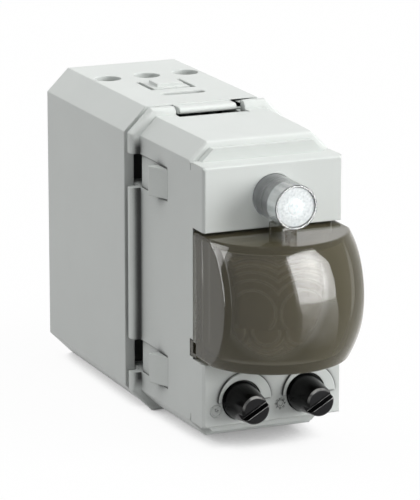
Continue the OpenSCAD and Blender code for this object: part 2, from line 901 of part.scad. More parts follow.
// Slotted captive screw that bears on the bar
module terminal_screw(i) {
    slot_w = 0.7;
    slot_d = 0.9;
    color("lightgray") translate([i * terminal_pitch, terminal_y, 0]) difference() {
        union() {
            translate([0, 0, bar_top_z + fit_gap]) cylinder(r = screw_r, h = head_z - bar_top_z);
            translate([0, 0, head_z]) cylinder(r = head_r, h = head_h);
        }
        translate([-head_r - over, -slot_w / 2, head_top_z - slot_d])
            cube([2 * head_r + 2 * over, slot_w, slot_d + over]);
    }
}

place() rear_housing();
place() front_cover();
place() lens_cover();
place() fresnel_lens();
place() light_guide();
place() photocell();
place() status_led();
place() pir_holder();
place() pir_sensor();
place() pir_window();
place() sensor_board();
place() controller_chip();
place() trimmer(time_x);  // time_trimmer
place() trimmer(lux_x);  // lux_trimmer
place() knob(time_x);  // time_knob
place() knob(lux_x);  // lux_knob
place() power_board();
place() board_header();
place() relay();
place() film_capacitor();
place() electrolytic_capacitor();
place() varistor();
place() fuse_resistor();
place() rectifier();
place() terminal_bars();
place() cage(-1);  // line_cage
place() cage(0);  // neutral_cage
place() cage(1);  // load_cage
place() terminal_screw(-1);  // line_screw
place() terminal_screw(0);  // neutral_screw
place() terminal_screw(1);  // load_screw
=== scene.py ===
"""Dresses the motion sensor light switch: finishes, lens, detector sheet, inner details and studio."""

import json
import math

import bmesh
import bpy
from mathutils import Matrix, Vector


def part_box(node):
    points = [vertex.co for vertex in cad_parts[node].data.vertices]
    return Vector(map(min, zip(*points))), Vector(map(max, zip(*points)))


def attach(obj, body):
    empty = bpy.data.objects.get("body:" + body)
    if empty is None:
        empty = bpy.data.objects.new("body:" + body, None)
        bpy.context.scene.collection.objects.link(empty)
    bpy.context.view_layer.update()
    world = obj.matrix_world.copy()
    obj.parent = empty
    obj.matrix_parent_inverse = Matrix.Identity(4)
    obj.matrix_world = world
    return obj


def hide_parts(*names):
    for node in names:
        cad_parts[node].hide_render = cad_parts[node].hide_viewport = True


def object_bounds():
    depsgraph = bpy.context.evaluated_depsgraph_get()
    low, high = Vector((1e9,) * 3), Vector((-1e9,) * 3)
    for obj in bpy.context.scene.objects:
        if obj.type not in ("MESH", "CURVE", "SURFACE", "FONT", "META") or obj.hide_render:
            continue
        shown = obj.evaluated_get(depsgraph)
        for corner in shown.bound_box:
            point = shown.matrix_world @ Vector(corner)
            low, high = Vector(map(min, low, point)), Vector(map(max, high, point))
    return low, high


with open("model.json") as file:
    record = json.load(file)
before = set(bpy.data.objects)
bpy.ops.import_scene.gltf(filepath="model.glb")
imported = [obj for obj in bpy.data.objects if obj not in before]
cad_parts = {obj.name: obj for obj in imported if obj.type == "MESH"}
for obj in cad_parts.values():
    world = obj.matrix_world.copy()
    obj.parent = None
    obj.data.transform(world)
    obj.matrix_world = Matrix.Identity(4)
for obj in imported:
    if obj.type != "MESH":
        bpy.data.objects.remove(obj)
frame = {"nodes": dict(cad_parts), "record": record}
CAD_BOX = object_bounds()

bl_info = {
    "name": "Motion Sensor Light Switch",
    "version": (1, 0, 0),
    "blender": (4, 5, 0),
    "location": "3D View > Sidebar > Switch",
    "description": "Builds the finished look of a flush-mounted motion sensor light switch",
    "category": "Object",
}

MM = 0.001
NODES = frame["nodes"]
SLOT_OF = {part["node"]: part["material_slot"] for part in frame["record"]["subparts"]}


def linear(hex_colour):
    """Linear RGBA of an sRGB hex colour."""
    channels = [int(hex_colour[i:i + 2], 16) / 255 for i in (1, 3, 5)]
    return tuple(c / 12.92 if c <= 0.04045 else ((c + 0.055) / 1.055) ** 2.4 for c in channels) + (1.0,)


# Places that several pieces share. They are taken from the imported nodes, apart from the plate's half
# height and the width of the guide's hidden flange, which are as in the solids.

JOINTS = {joint["name"]: joint for joint in frame["record"]["behaviour"]["joints"]}
KNOB_AXES = [Vector(JOINTS[name]["pos_m"]) for name in ("time_knob_turn", "lux_knob_turn")]
PLATE_Y = KNOB_AXES[0].y
LENS_LOW, LENS_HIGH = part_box("lens_cover")
MIDDLE_Z = (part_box("sensor_board")[0].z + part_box("sensor_board")[1].z) / 2
PLATE_HALF = 18.5 * MM
GUIDE_LOW, GUIDE_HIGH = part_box("light_guide")
GUIDE_FLANGE = 0.5 * MM
GUIDE_RADIUS = (GUIDE_HIGH.x - GUIDE_LOW.x) / 2 - GUIDE_FLANGE
GUIDE_END = Vector((0, GUIDE_LOW.y, (GUIDE_LOW.z + GUIDE_HIGH.z) / 2))

# Values at the points of the fresnel sheet that its material reads: the painted highlight on the rings'
# edges and the painted shade at the sheet's rim

RING_HIGHLIGHT = "ring_highlight"
SHEET_RIM_SHADE = "sheet_rim_shade"


class SwitchSizes(bpy.types.PropertyGroup):
    """Sizes of the dressed model. Those of the lens are as in the solids."""

    shell_edge: bpy.props.FloatProperty(
        name="Shell edge", description="Rounding of the moulded housing's edges",
        default=0.22 * MM, unit="LENGTH")
    knob_edge: bpy.props.FloatProperty(
        name="Knob edge", description="Rounding of the knobs' edges", default=0.3 * MM, unit="LENGTH")
    small_edge: bpy.props.FloatProperty(
        name="Component edge", description="Rounding of the inner pieces' edges",
        default=0.12 * MM, unit="LENGTH")
    lens_radius: bpy.props.FloatProperty(
        name="Lens radius", description="Radius of the lens at mid-height",
        default=13 * MM, unit="LENGTH")
    lens_arc: bpy.props.FloatProperty(
        name="Lens arc", description="Radius of the lens's upright curve", default=18 * MM, unit="LENGTH")
    lens_half: bpy.props.FloatProperty(
        name="Lens half height", description="Half of the lens's height",
        default=8.95 * MM, unit="LENGTH")
    lens_wall: bpy.props.FloatProperty(
        name="Lens wall", description="Wall of the lens", default=1.2 * MM, unit="LENGTH")
    lens_edge: bpy.props.FloatProperty(
        name="Lens edge", description="Rounding between the dome and the lens's flat sides",
        default=0.55 * MM, unit="LENGTH")
    large_ring: bpy.props.FloatProperty(
        name="Large ring", description="Radius of the first ring in the upper fresnel cells",
        default=3.2 * MM, unit="LENGTH")
    small_ring: bpy.props.FloatProperty(
        name="Small ring", description="Radius of the first ring in the lower fresnel cells",
        default=1.9 * MM, unit="LENGTH")
    ring_depth: bpy.props.FloatProperty(
        name="Ring depth", description="Depth of the rings of the fresnel cells",
        default=0.3 * MM, unit="LENGTH")
    # The pale line on a ring's edge is a painted highlight
    ring_line: bpy.props.FloatProperty(
        name="Ring line", description="Half of the width of the pale line on a ring's edge",
        default=0.3 * MM, unit="LENGTH")
    # The shade on the sheet's rim is painted
    rim_width: bpy.props.FloatProperty(
        name="Sheet rim", description="Width of the sheet's rim that the lens's edge shades",
        default=1.3 * MM, unit="LENGTH")
    symbol_rise: bpy.props.FloatProperty(
        name="Symbol rise", description="How far the moulded symbols stand out",
        default=0.12 * MM, unit="LENGTH")


class SwitchColours(bpy.types.PropertyGroup):
    """Colours of the finishes."""

    housing: bpy.props.FloatVectorProperty(
        name="Housing", description="Moulded light grey plastic", subtype="COLOR", size=4,
        default=linear("#D7DBD8"))
    lens: bpy.props.FloatVectorProperty(
        name="Lens", description="Smoke tinted plastic", subtype="COLOR", size=4,
        default=linear("#57523F"))
    knob: bpy.props.FloatVectorProperty(
        name="Knob", description="Black plastic", subtype="COLOR", size=4, default=linear("#070708"))
    floor: bpy.props.FloatVectorProperty(
        name="Floor", description="Pale studio floor", subtype="COLOR", size=4, default=linear("#F4F4F4"))


def add_node(tree, kind, sockets=None, **settings):
    """Adds a node, sets its settings, and sets or links its sockets."""
    node = tree.nodes.new(kind)
    for name, value in settings.items():
        setattr(node, name, value)
    for name, value in (sockets or {}).items():
        if isinstance(value, bpy.types.NodeSocket):
            tree.links.new(value, node.inputs[name])
        else:
            node.inputs[name].default_value = value
    return node


def new_material(name):
    """An empty node material and its tree."""
    material = bpy.data.materials.new(name)
    material.use_nodes = True
    material.node_tree.nodes.clear()
    return material, material.node_tree


def join_output(material, shader):
    """Joins a shader to its material's output and returns the finished material."""
    add_node(material.node_tree, "ShaderNodeOutputMaterial", {"Surface": shader.outputs[0]})
    return material


def shade(colour, factor):
    """A colour made darker or lighter by a factor."""
    return tuple(c * factor for c in colour[:3]) + (1.0,)


def painted_sheen_and_edge_highlight(tree, tint, own, flow, front_sheen, edge_highlight):
    """The tint of plastic with a painted sheen and painted highlights.

    Faces that look forward have the painted sheen colour. The upper edges above them have the painted
    highlight colour, in patches.
    """
    facing = add_node(tree, "ShaderNodeSeparateXYZ", {"Vector": own["Normal"]})
    rounded = add_node(tree, "ShaderNodeMapRange", {
        "Value": facing.outputs["Y"], "From Min": -0.35, "From Max": -0.55})
    # Painted highlight: only edges that look up, where light from above would glint
    upper = add_node(tree, "ShaderNodeMapRange", {
        "Value": facing.outputs["Z"], "From Min": 0.0, "From Max": 0.5})
    patchy = add_node(tree, "ShaderNodeMapRange", {
        "Value": flow.outputs["Fac"], "From Min": 0.4, "From Max": 0.55, "To Min": 0.25})
    above = add_node(tree, "ShaderNodeMath", {
        0: rounded.outputs["Result"], 1: upper.outputs["Result"]}, operation="MULTIPLY")
    share = add_node(tree, "ShaderNodeMath", {
        0: above.outputs[0], 1: patchy.outputs["Result"]}, operation="MULTIPLY")
    edged = add_node(tree, "ShaderNodeMix", {
        "Factor": share.outputs[0], "A": tint, "B": edge_highlight}, data_type="RGBA")
    # Painted sheen on faces that look forward
    forward = add_node(tree, "ShaderNodeMapRange", {
        "Value": facing.outputs["Y"], "From Min": -0.8, "From Max": -0.97})
    return add_node(tree, "ShaderNodeMix", {
        "Factor": forward.outputs["Result"], "A": edged.outputs["Result"], "B": front_sheen},
        data_type="RGBA").outputs["Result"]


def painted_shade_in_corners(tree, tint, own, painted_shade_colour, shade_reach_mm):
    """The tint of plastic with painted shade in its corners, where shade would fall.

    Corners and slots within the given reach, found by ambient occlusion, get the painted shade colour.
    Faces that look up or down, and corners near the top and the bottom of the plate, are left unshaded,
    as light from above and below reaches them.
    """
    unshaded_band = 1.5 * MM
    facing = add_node(tree, "ShaderNodeSeparateXYZ", {"Vector": own["Normal"]})
    # Painted shade: ambient occlusion darkens corners and slots
    open_air = add_node(tree, "ShaderNodeAmbientOcclusion", {
        "Distance": shade_reach_mm * MM}, samples=12, only_local=True)
    unoccluded = add_node(tree, "ShaderNodeMapRange", {
        "Value": open_air.outputs["AO"], "From Min": 0.62, "From Max": 1.0},
        interpolation_type="SMOOTHSTEP")
    level = add_node(tree, "ShaderNodeMath", {0: facing.outputs["Z"]}, operation="ABSOLUTE")
    flat = add_node(tree, "ShaderNodeMapRange", {
        "Value": level.outputs[0], "From Min": 0.75, "From Max": 0.87})
    height = add_node(tree, "ShaderNodeSeparateXYZ", {"Vector": own["Object"]})
    from_middle = add_node(tree, "ShaderNodeMath", {
        0: height.outputs["Z"], 1: MIDDLE_Z}, operation="SUBTRACT")
    away = add_node(tree, "ShaderNodeMath", {0: from_middle.outputs[0]}, operation="ABSOLUTE")
    high = add_node(tree, "ShaderNodeMapRange", {
        "Value": away.outputs[0], "From Min": PLATE_HALF - unshaded_band, "From Max": PLATE_HALF,
        "To Max": 0.9})
    unshaded = add_node(tree, "ShaderNodeMath", {
        0: flat.outputs["Result"], 1: high.outputs["Result"]}, operation="MAXIMUM")
    unshaded_share = add_node(tree, "ShaderNodeMath", {
        0: unoccluded.outputs["Result"], 1: unshaded.outputs[0]}, operation="MAXIMUM")
    return add_node(tree, "ShaderNodeMix", {
        "Factor": unshaded_share.outputs[0], "A": painted_shade_colour, "B": tint}, data_type="RGBA").outputs["Result"]


def moulded(name, colour, rough, sockets=(), grain_depth_mm=0.006, mottle=0.03, edge_mm=0.1, shade_reach_mm=0,
            front_sheen=None, edge_highlight=None, flow_mm=9):
    """Moulded plastic: spark-eroded grain, soft edges, a slight drift of colour and uneven gloss.

    Real spark grain is about 0.05 mm wide; it is drawn coarser so that it shows.
    """
    grain_mm = 0.35
    gloss_mm, gloss_drift = 2.5, 0.05
    # Colour of the painted shade in corners
    painted_shade_colour = shade(colour, 0.05)
    material, tree = new_material(name)
    own = add_node(tree, "ShaderNodeTexCoord").outputs
    place = own["Object"]
    flow = add_node(tree, "ShaderNodeTexNoise", {
        "Vector": place, "Scale": 1 / (flow_mm * MM), "Detail": 2.0})
    tint = add_node(tree, "ShaderNodeMix", {
        "Factor": flow.outputs["Fac"], "A": shade(colour, 1 - mottle), "B": shade(colour, 1 + mottle)},
        data_type="RGBA").outputs["Result"]
    # Painted sheen on faces that look forward and painted highlight on the edges above them
    if front_sheen:
        tint = painted_sheen_and_edge_highlight(tree, tint, own, flow, front_sheen, edge_highlight)
    # Painted shade in corners, where shade would fall
    if shade_reach_mm:
        tint = painted_shade_in_corners(tree, tint, own, painted_shade_colour, shade_reach_mm)
    gloss = add_node(tree, "ShaderNodeTexNoise", {"Vector": place, "Scale": 1 / (gloss_mm * MM)})
    uneven = add_node(tree, "ShaderNodeMapRange", {
        "Value": gloss.outputs["Fac"], "To Min": rough - gloss_drift, "To Max": rough + gloss_drift})
    soft_edge = add_node(tree, "ShaderNodeBevel", {"Radius": edge_mm * MM}, samples=6)
    grain = add_node(tree, "ShaderNodeTexNoise", {
        "Vector": place, "Scale": 1 / (grain_mm * MM), "Detail": 1.0})
    bump = add_node(tree, "ShaderNodeBump", {
        "Height": grain.outputs["Fac"], "Strength": 0.5, "Distance": grain_depth_mm * MM,
        "Normal": soft_edge.outputs["Normal"]})
    return join_output(material, add_node(tree, "ShaderNodeBsdfPrincipled", {
        "Base Color": tint, "Roughness": uneven.outputs["Result"], "Normal": bump.outputs["Normal"],
        **dict(sockets)}))


def smoked_polycarbonate(name, colour):
    """Polycarbonate, smoke tinted and polished in the mould.

    The eye sees a dark brown body, a mirror-like skin and, faintly, the sheet behind it.
    """
    flow_mm = 5
    index = 1.58
    material, tree = new_material(name)
    place = add_node(tree, "ShaderNodeTexCoord").outputs["Object"]
    flow = add_node(tree, "ShaderNodeTexNoise", {
        "Vector": place, "Scale": 1 / (flow_mm * MM), "Detail": 1.0})
    tint = add_node(tree, "ShaderNodeMix", {
        "Factor": flow.outputs["Fac"], "A": shade(colour, 0.9), "B": shade(colour, 1.1)},
        data_type="RGBA")
    polish = add_node(tree, "ShaderNodeMapRange", {
        "Value": flow.outputs["Fac"], "To Min": 0.05, "To Max": 0.09})
    glance = add_node(tree, "ShaderNodeFresnel", {"IOR": index})
    cover = add_node(tree, "ShaderNodeMapRange", {
        "Value": glance.outputs["Fac"], "From Min": 0.05, "From Max": 0.4, "To Min": 0.4, "To Max": 1.0})
    return join_output(material, add_node(tree, "ShaderNodeBsdfPrincipled", {
        "Base Color": tint.outputs["Result"], "Roughness": polish.outputs["Result"], "IOR": index,
        "Alpha": cover.outputs["Result"]}))


def fresnel_polyethylene(name):
    """Polyethylene sheet, pressed with rings.

    The eye sees waxy amber, with a painted highlight on each ring's edge and painted shade at the sheet's
    rim.
    """
    haze_mm = 3
    material, tree = new_material(name)
    place = add_node(tree, "ShaderNodeTexCoord").outputs["Object"]
    haze = add_node(tree, "ShaderNodeTexNoise", {"Vector": place, "Scale": 1 / (haze_mm * MM)})
    tint = add_node(tree, "ShaderNodeMix", {
        "Factor": haze.outputs["Fac"], "A": linear("#978862"), "B": linear("#AE9D77")}, data_type="RGBA")
    # Painted highlight: a pale line on each ring's edge
    edge = add_node(tree, "ShaderNodeAttribute", attribute_name=RING_HIGHLIGHT)
    ringed = add_node(tree, "ShaderNodeMix", {
        "Factor": edge.outputs["Fac"], "A": tint.outputs["Result"], "B": linear("#FAF0D8")},
        data_type="RGBA")
    # Painted shade at the sheet's rim
    rim = add_node(tree, "ShaderNodeAttribute", attribute_name=SHEET_RIM_SHADE)
    dimmed = add_node(tree, "ShaderNodeMix", {
        "Factor": rim.outputs["Fac"], "A": ringed.outputs["Result"], "B": linear("#3A3120")},
        data_type="RGBA")
    return join_output(material, add_node(tree, "ShaderNodeBsdfPrincipled", {
        "Base Color": dimmed.outputs["Result"], "Roughness": 0.4, "IOR": 1.51}))


def clear_acrylic(name):
    """Acrylic rod, cast and polished.

    The eye sees it clear at its end and greyer towards its hole with painted shade, with painted streaks
    where it bends the light.
    """
    swirl_mm = 1.5
    streak_mm = 1.1
    material, tree = new_material(name)
    place = add_node(tree, "ShaderNodeTexCoord").outputs["Object"]
    swirl = add_node(tree, "ShaderNodeTexNoise", {"Vector": place, "Scale": 1 / (swirl_mm * MM)})
    polish = add_node(tree, "ShaderNodeMapRange", {
        "Value": swirl.outputs["Fac"], "To Min": 0.02, "To Max": 0.07})
    along = add_node(tree, "ShaderNodeSeparateXYZ", {"Vector": place})
    # Painted shade: the rod is greyer towards its hole
    clear = add_node(tree, "ShaderNodeMapRange", {
        "Value": along.outputs["Y"], "From Min": PLATE_Y, "From Max": GUIDE_END.y})
    tint = add_node(tree, "ShaderNodeMix", {
        "Factor": clear.outputs["Result"], "A": linear("#D6DADB"), "B": linear("#F0F2F2")},
        data_type="RGBA")
    drawn_out = add_node(tree, "ShaderNodeMapping", {"Vector": place, "Scale": (1.0, 0.08, 1.0)})
    streaks = add_node(tree, "ShaderNodeTexNoise", {
        "Vector": drawn_out.outputs["Vector"], "Scale": 1 / (streak_mm * MM), "Detail": 2.0})
    # Painted streaks for the light that the rod bends
    painted_streak = add_node(tree, "ShaderNodeMapRange", {
        "Value": streaks.outputs["Fac"], "From Min": 0.38, "From Max": 0.58})
    streaked = add_node(tree, "ShaderNodeMix", {
        "Factor": painted_streak.outputs["Result"], "A": linear("#B4B9BA"), "B": tint.outputs["Result"]},
        data_type="RGBA")
    return join_output(material, add_node(tree, "ShaderNodeBsdfPrincipled", {
        "Base Color": streaked.outputs["Result"], "Roughness": polish.outputs["Result"], "IOR": 1.49,
        "Transmission Weight": 0.85}))


def plated_metal(name, colour, rough):
    """Plated or bare sheet and turned metal: bright, with fine drawn lines that stretch the reflections.

    Real drawn lines are about 0.02 mm wide; they are drawn coarser so that they show.
    """
    line_mm = 0.25
    material, tree = new_material(name)
    place = add_node(tree, "ShaderNodeTexCoord").outputs["Object"]
    stretch = add_node(tree, "ShaderNodeMapping", {"Vector": place, "Scale": (1.0, 1.0, 0.12)})
    lines = add_node(tree, "ShaderNodeTexNoise", {
        "Vector": stretch.outputs["Vector"], "Scale": 1 / (line_mm * MM), "Detail": 2.0})
    uneven = add_node(tree, "ShaderNodeMapRange", {
        "Value": lines.outputs["Fac"], "To Min": rough - 0.08, "To Max": rough + 0.1})
    tint = add_node(tree, "ShaderNodeMix", {
        "Factor": lines.outputs["Fac"], "A": shade(colour, 0.9), "B": colour}, data_type="RGBA")
    return join_output(material, add_node(tree, "ShaderNodeBsdfPrincipled", {
        "Base Color": tint.outputs["Result"], "Metallic": 1.0, "Roughness": uneven.outputs["Result"]}))


def solder_resist(name):
    """Glass-fibre board under green solder resist.

    The eye sees copper tracks as lighter bands under the lacquer, and the weave as a faint ripple.
    """
    track_mm = 1.1
    weave_mm, weave_depth_mm = 0.4, 0.01
    material, tree = new_material(name)
    place = add_node(tree, "ShaderNodeTexCoord").outputs["Object"]
    tracks = add_node(tree, "ShaderNodeTexBrick", {
        "Vector": place, "Color1": linear("#1D5A34"), "Color2": linear("#236A3D"),
        "Mortar": linear("#123F26"), "Scale": 1 / (4 * track_mm * MM), "Mortar Size": 0.04})
    weave = add_node(tree, "ShaderNodeTexNoise", {"Vector": place, "Scale": 1 / (weave_mm * MM)})
    bump = add_node(tree, "ShaderNodeBump", {
        "Height": weave.outputs["Fac"], "Strength": 0.2, "Distance": weave_depth_mm * MM})
    return join_output(material, add_node(tree, "ShaderNodeBsdfPrincipled", {
        "Base Color": tracks.outputs["Color"], "Roughness": 0.3, "Normal": bump.outputs["Normal"]}))


def frosted_acrylic(name, centre, radius):
    """Acrylic, ground matt: milky white and uneven, with a painted glow that is brightest where the rod's
    light comes out.

    Real grinding marks are about 0.03 mm wide; they are drawn coarser so that they show.
    """
    grind_mm = 0.35
    material, tree = new_material(name)
    place = add_node(tree, "ShaderNodeTexCoord").outputs["Object"]
    grind = add_node(tree, "ShaderNodeTexNoise", {
        "Vector": place, "Scale": 1 / (grind_mm * MM), "Detail": 3.0})
    milk = add_node(tree, "ShaderNodeMix", {
        "Factor": grind.outputs["Fac"], "A": linear("#A4AAAB"), "B": linear("#E6E9E9")}, data_type="RGBA")
    matt = add_node(tree, "ShaderNodeMapRange", {
        "Value": grind.outputs["Fac"], "To Min": 0.2, "To Max": 0.4})
    # Painted glow: the ground end glows though it is no lamp, brightest near its middle
    away = add_node(tree, "ShaderNodeVectorMath", {0: place, 1: centre}, operation="DISTANCE")
    glow = add_node(tree, "ShaderNodeMapRange", {
        "Value": away.outputs["Value"], "From Min": 0.35 * radius, "From Max": 0.55 * radius,
        "To Min": 0.7, "To Max": 0.42})
    return join_output(material, add_node(tree, "ShaderNodeBsdfPrincipled", {
        "Base Color": milk.outputs["Result"], "Roughness": matt.outputs["Result"], "IOR": 1.49,
        "Emission Color": milk.outputs["Result"], "Emission Strength": glow.outputs["Result"]}))


def seen_directly(tree):
    """One for rays from the camera, from gloss and through glass; nought for rays of bounced light."""
    path = add_node(tree, "ShaderNodeLightPath")
    seen = add_node(tree, "ShaderNodeMath", {
        0: path.outputs["Is Camera Ray"], 1: path.outputs["Is Glossy Ray"]}, operation="MAXIMUM")
    return add_node(tree, "ShaderNodeMath", {
        0: seen.outputs[0], 1: path.outputs["Is Transmission Ray"]}, operation="MAXIMUM").outputs[0]


def studio_paper(name, colour):
    """Seamless paper, brightly lit.

    The eye sees it matt and almost white, with a shadow only close to what stands on it, mostly painted
    from ambient occlusion and partly cast. Single fibres are too fine to show, so the pattern is that of
    their clumps.
    """
    clump_mm = 0.8
    shadow_mm = 11
    bounce, glow_share = 0.4, 0.95
    material, tree = new_material(name)
    place = add_node(tree, "ShaderNodeTexCoord").outputs["Object"]
    clumps = add_node(tree, "ShaderNodeTexNoise", {"Vector": place, "Scale": 1 / (clump_mm * MM)})
    tint = add_node(tree, "ShaderNodeMix", {
        "Factor": clumps.outputs["Fac"], "A": shade(colour, 0.995), "B": colour}, data_type="RGBA")
    paper = add_node(tree, "ShaderNodeBsdfDiffuse", {"Color": tint.outputs["Result"]})
    # Painted shadow: the paper's glow dims where something stands close
    open_air = add_node(tree, "ShaderNodeAmbientOcclusion", {"Distance": shadow_mm * MM}, samples=16)
    painted_contact_shadow = add_node(tree, "ShaderNodeMapRange", {
        "Value": open_air.outputs["AO"], "From Min": 0.05, "From Max": 0.33,
        "To Min": 0.3, "To Max": 1.0})
    glow = add_node(tree, "ShaderNodeEmission", {"Strength": painted_contact_shadow.outputs["Result"]})
    lit = add_node(tree, "ShaderNodeMixShader", {0: glow_share, 1: paper.outputs[0], 2: glow.outputs[0]})
    dim = add_node(tree, "ShaderNodeBsdfDiffuse", {"Color": shade(colour, bounce)})
    return join_output(material, add_node(tree, "ShaderNodeMixShader", {
        0: seen_directly(tree), 1: dim.outputs[0], 2: lit.outputs[0]}))


def lamp_cloth(name, radiance, centre, reach, low_z, high_z):
    """Diffusing cloth of a soft box.

    The eye sees its creases mirrored, brightest before the tube and fading out from high_z to low_z.
    """
    crease_mm = 9
    near, far = 1.3 * radiance, 0.8 * radiance
    faint, half_lit = 0.06, 0.48
    material, tree = new_material(name)
    place = add_node(tree, "ShaderNodeTexCoord").outputs["Object"]
    away = add_node(tree, "ShaderNodeVectorMath", {0: place, 1: centre}, operation="DISTANCE")
    level = add_node(tree, "ShaderNodeMapRange", {
        "Value": away.outputs["Value"], "From Min": 0.0, "From Max": reach,
        "To Min": near, "To Max": far})
    crease = add_node(tree, "ShaderNodeTexNoise", {
        "Vector": place, "Scale": 1 / (crease_mm * MM), "Detail": 3.0})
    folds = add_node(tree, "ShaderNodeMapRange", {
        "Value": crease.outputs["Fac"], "From Min": 0.3, "From Max": 0.7, "To Min": 0.75, "To Max": 1.1})
    cloth = add_node(tree, "ShaderNodeMath", {
        0: level.outputs["Result"], 1: folds.outputs["Result"]}, operation="MULTIPLY")
    height = add_node(tree, "ShaderNodeSeparateXYZ", {"Vector": place})
    fade = add_node(tree, "ShaderNodeMapRange", {
        "Value": height.outputs["Z"], "From Min": low_z, "From Max": high_z,
        "To Min": faint, "To Max": half_lit})
    upper = add_node(tree, "ShaderNodeMath", {
        0: height.outputs["Z"], 1: high_z}, operation="GREATER_THAN")
    share = add_node(tree, "ShaderNodeMath", {
        0: upper.outputs[0], 1: fade.outputs["Result"]}, operation="MAXIMUM")
    strength = add_node(tree, "ShaderNodeMath", {
        0: cloth.outputs[0], 1: share.outputs[0]}, operation="MULTIPLY")
    return join_output(material, add_node(tree, "ShaderNodeEmission", {"Strength": strength.outputs[0]}))


def finish_material(key):
    """The shared material of one finish, made when it is first asked for."""
    colours = bpy.context.scene.switch_colours
    grey = tuple(colours.housing)
    makers = {
        # Fine satin grain: a soft, even grey, with painted shade in tight corners
        "housing": ("ABS moulded light grey", lambda name: moulded(
            name, grey, 0.42, {"IOR": 1.5}, edge_mm=0.25, shade_reach_mm=1.2)),
        # The same grey, with painted shade in wide corners too
        "shaded_housing": ("ABS moulded light grey painted shade", lambda name: moulded(
            name, grey, 0.42, {"IOR": 1.5}, edge_mm=0.25, shade_reach_mm=8)),
        # A deep brown mirror, with the sheet showing faintly through it
        "smoked_lens": ("Polycarbonate smoke polished", lambda name: smoked_polycarbonate(
            name, tuple(colours.lens))),
        # Waxy amber, with a painted highlight line on each ring and painted shade at its rim
        "fresnel_sheet": ("Polyethylene pressed rings", fresnel_polyethylene),
        # Clear as water, with painted grey streaks for bent light and painted shade towards its hole
        "clear_plastic": ("Acrylic clear polished", clear_acrylic),
        # Milky, with a painted glow for the light that comes out through it
        "frosted_end": ("Acrylic ground matt", lambda name: frosted_acrylic(
            name, GUIDE_END, GUIDE_RADIUS)),
        # Glassy, deep red
        "red_lamp": ("Epoxy cast red", lambda name: moulded(
            name, linear("#9C1D18"), 0.18, {"IOR": 1.55}, grain_depth_mm=0.0)),
        # Off-white and slightly waxy
        "white_plastic": ("Nylon moulded white", lambda name: moulded(name, linear("#DAD9D2"), 0.5)),
        # Warm silver, with lines that stretch what it mirrors
        "nickel_can": ("Steel nickel plated", lambda name: plated_metal(name, linear("#C9C6BE"), 0.25)),
        # Dull charcoal, slightly blotched
        "black_plastic": ("Epoxy moulded black", lambda name: moulded(
            name, linear("#1C1C1D"), 0.5, mottle=0.1)),
        # Dark green, with lighter tracks under a glossy lacquer
        "circuit_board": ("Glass fibre solder resist", solder_resist),
        # A thick blue skin, a little glossy
        "blue_plastic": ("Epoxy dipped blue", lambda name: moulded(name, linear("#274C96"), 0.35)),
        # Slick near-black, with a dark grey painted sheen on faces that look forward and a pale painted
        # highlight on its upper edges
        "knob": ("Nylon moulded black", lambda name: moulded(
            name, tuple(colours.knob), 0.2, {"IOR": 1.53, "Specular IOR Level": 0.1},
            grain_depth_mm=0.003, mottle=0.1, front_sheen=linear("#1E1E1F"), edge_highlight=linear("#B4B4B2"),
            flow_mm=1.6)),
        # Even, satin orange
        "orange_plastic": ("Polyester moulded orange", lambda name: moulded(
            name, linear("#D9771E"), 0.4)),
        # Even, satin yellow
        "yellow_plastic": ("Polyester moulded yellow", lambda name: moulded(
            name, linear("#D8B03A"), 0.4)),
        # Yellow metal, with the strip's drawn lines
        "brass": ("Brass stamped", lambda name: plated_metal(name, linear("#C9A24F"), 0.28)),
        # Cool, bright grey, with the strip's drawn lines
        "zinc_steel": ("Steel zinc plated", lambda name: plated_metal(name, linear("#B9BCC0"), 0.32)),
    }
    name, make = makers[key]
    return bpy.data.materials.get(name) or make(name)


def shade_smooth(piece):
    """Shades a piece smoothly, with normals that follow its larger faces."""
    for polygon in piece.data.polygons:
        polygon.use_smooth = True
    normals = piece.modifiers.new("Normals", "WEIGHTED_NORMAL")
    normals.keep_sharp = False


def dress(node, edge, finish=None):
    """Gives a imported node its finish, and rounds its sharp edges without touching its mesh."""
    segments = 3
    sharp_angle, flat_angle = math.radians(30), math.radians(0.7)
    weld_gap = 0.002 * MM
    piece = NODES[node]
    piece.data.materials.clear()
    piece.data.materials.append(finish_material(finish or SLOT_OF[node]))
    weld = piece.modifiers.new("Weld", "WELD")
    weld.merge_threshold = weld_gap
    flat = piece.modifiers.new("Flat faces", "DECIMATE")
    flat.decimate_type = "DISSOLVE"
    flat.angle_limit = flat_angle
    bevel = piece.modifiers.new("Edges", "BEVEL")
    bevel.width = edge
    bevel.segments = segments
    bevel.limit_method = "ANGLE"
    bevel.angle_limit = sharp_angle
    bevel.use_clamp_overlap = True
    bevel.harden_normals = False
    shade_smooth(piece)


def add_object(name, geometry, material):
    """Turns a bmesh into an object of the scene."""
    mesh = bpy.data.meshes.new(name)
    geometry.to_mesh(mesh)
    geometry.free()
    mesh.materials.append(material)
    made = bpy.data.objects.new(name, mesh)
    bpy.context.scene.collection.objects.link(made)
    return made


def add_piece(name, geometry, finish):
    """Turns a bmesh into a smooth piece that rides on the case."""
    bmesh.ops.recalc_face_normals(geometry, faces=geometry.faces)
    piece = add_object(name, geometry, finish_material(finish))
    shade_smooth(piece)
    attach(piece, "case")
    return piece


def add_block(geometry, low, high, edge):
    """Adds a box with rounded edges between two corners."""
    segments = 3
    middle = (Vector(low) + Vector(high)) / 2
    span = Vector(high) - Vector(low)
    made = bmesh.ops.create_cube(
        geometry, size=1.0,
        matrix=Matrix.Translation(middle) @ Matrix.Diagonal((span.x, span.y, span.z, 1.0)))
    edges = list(dict.fromkeys(e for v in made["verts"] for e in v.link_edges))
    bmesh.ops.bevel(geometry, geom=edges, offset=edge, segments=segments, profile=0.5, affect="EDGES")


